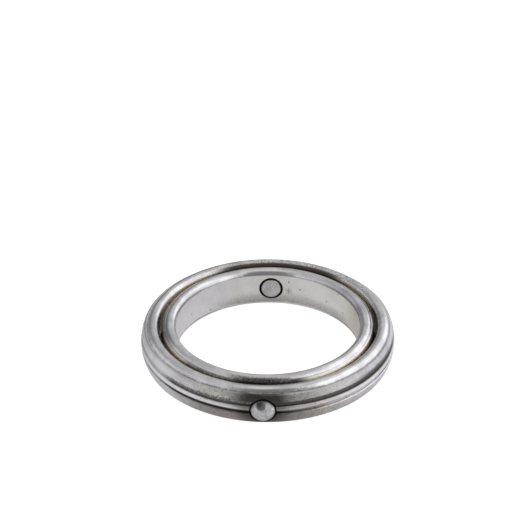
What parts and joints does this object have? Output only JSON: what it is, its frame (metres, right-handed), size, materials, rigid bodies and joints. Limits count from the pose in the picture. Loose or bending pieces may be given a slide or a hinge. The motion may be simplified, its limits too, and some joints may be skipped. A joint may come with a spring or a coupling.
{
  "type": "two-hoop swivel finger ring",
  "caption": "Finger ring of two concentric silver hoops, the inner one turning end over end inside the outer one on two rivets.",
  "frame": {"origin": "centre of the finger bore, on the middle plane of both hoops. The rivet axis passes 0.1 mm below it", "axes": "+Z along the axis of the finger bore, +Y parallel to the rivet axis with the front rivet at -Y, +X to the right seen from the front"},
  "size_m": [0.026, 0.0266, 0.0042],
  "materials": {
    "outer_silver": "satin silver, blackened in the grooves",
    "inner_silver": "satin silver, matt in the bore",
    "rivet_silver": "hammered satin silver"
  },
  "bodies": {
    "outer": {"outer_hoop": "outer_silver", "front_rivet": "rivet_silver", "rear_rivet": "rivet_silver"},
    "inner": {"inner_hoop": "inner_silver"}
  },
  "joints": [
    {"name": "inner_hoop_swivel", "type": "hinge", "parent": "outer", "child": "inner", "pos_m": [0, 0, -0.0001], "axis": [0, 1, 0], "continuous": true}
  ]
}
